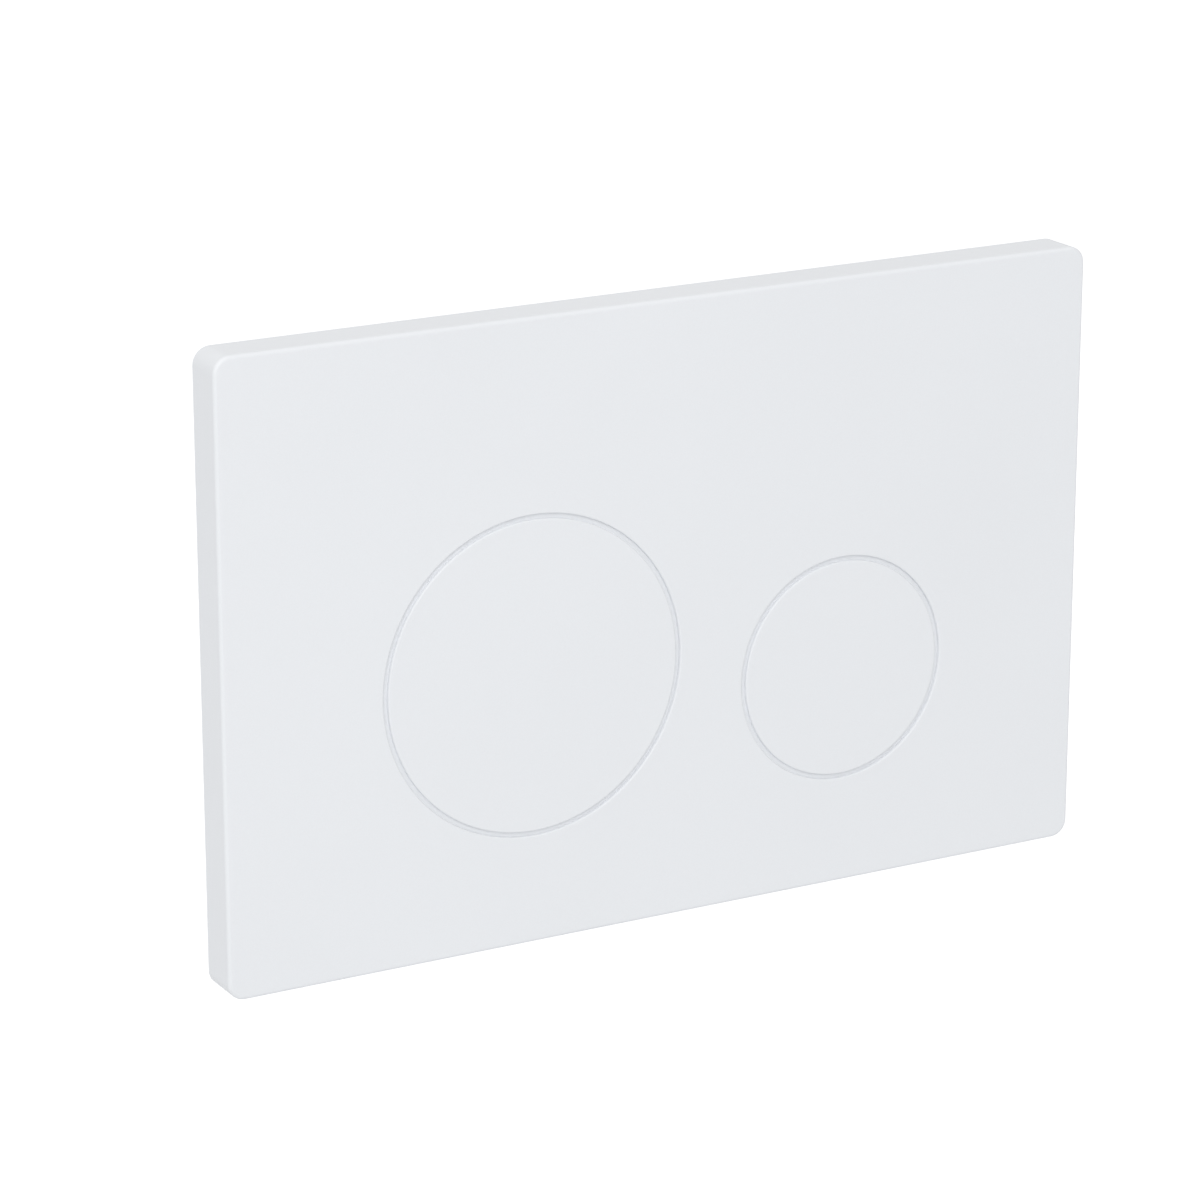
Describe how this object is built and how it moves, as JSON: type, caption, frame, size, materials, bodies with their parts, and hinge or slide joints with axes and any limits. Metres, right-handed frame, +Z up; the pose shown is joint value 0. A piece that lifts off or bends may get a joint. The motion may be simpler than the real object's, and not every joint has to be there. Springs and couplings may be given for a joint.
{
  "type": "flush button plate",
  "caption": "Wall plate for a concealed toilet cistern: a satin white cover with a large and a small round flush button level with its face, and push rods, springs and a fixing frame behind.",
  "frame": {"origin": "middle of the cover's outline, on the wall plane where the rim of the cover rests", "axes": "+X to the right seen from the front, +Y into the wall, +Z up"},
  "size_m": [0.246, 0.0988, 0.1614],
  "materials": {
    "cover_white": "satin moulded ABS",
    "housing_slate": "moulded slate-grey plastic",
    "frame_grey": "moulded grey plastic",
    "rod_plastic": "natural acetal with a rolled thread",
    "nut_plastic": "moulded dark nylon",
    "spring_steel": "drawn stainless wire",
    "clip_steel": "stamped stainless sheet",
    "bolt_zinc": "zinc-plated steel",
    "buffer_rubber": "soft moulded rubber"
  },
  "bodies": {
    "plate": {"face_plate": "cover_white", "button_housing": "housing_slate", "mounting_frame": "frame_grey", "left_distance_bolt": "bolt_zinc", "right_distance_bolt": "bolt_zinc", "left_wing_nut": "nut_plastic", "right_wing_nut": "nut_plastic", "full_flush_spring": "spring_steel", "half_flush_spring": "spring_steel", "full_flush_buffers": "buffer_rubber", "half_flush_buffers": "buffer_rubber"},
    "full_button": {"full_flush_button": "cover_white", "full_flush_stem_clip": "clip_steel"},
    "half_button": {"half_flush_button": "cover_white", "half_flush_stem_clip": "clip_steel"},
    "full_rod": {"full_flush_push_rod": "rod_plastic", "full_flush_rod_cap": "nut_plastic", "full_flush_lock_nut": "nut_plastic"},
    "half_rod": {"half_flush_push_rod": "rod_plastic", "half_flush_rod_cap": "nut_plastic", "half_flush_lock_nut": "nut_plastic"}
  },
  "joints": [
    {"name": "full_flush_press", "type": "slide", "parent": "plate", "child": "full_button", "axis": [0, 1, 0], "range_m": [0, 0.005], "stiffness_N_per_m": 500, "springref_m": -0.008, "deforming": ["full_flush_spring"]},
    {"name": "half_flush_press", "type": "slide", "parent": "plate", "child": "half_button", "axis": [0, 1, 0], "range_m": [0, 0.005], "stiffness_N_per_m": 500, "springref_m": -0.008, "deforming": ["half_flush_spring"]},
    {"name": "full_rod_slide", "type": "slide", "parent": "plate", "child": "full_rod", "axis": [0, 1, 0], "range_m": [0, 0.005]},
    {"name": "half_rod_slide", "type": "slide", "parent": "plate", "child": "half_rod", "axis": [0, 1, 0], "range_m": [0, 0.005]}
  ],
  "couplings": [
    {"joint": "full_rod_slide", "follows": "full_flush_press", "ratio": 1},
    {"joint": "half_rod_slide", "follows": "half_flush_press", "ratio": 1}
  ]
}
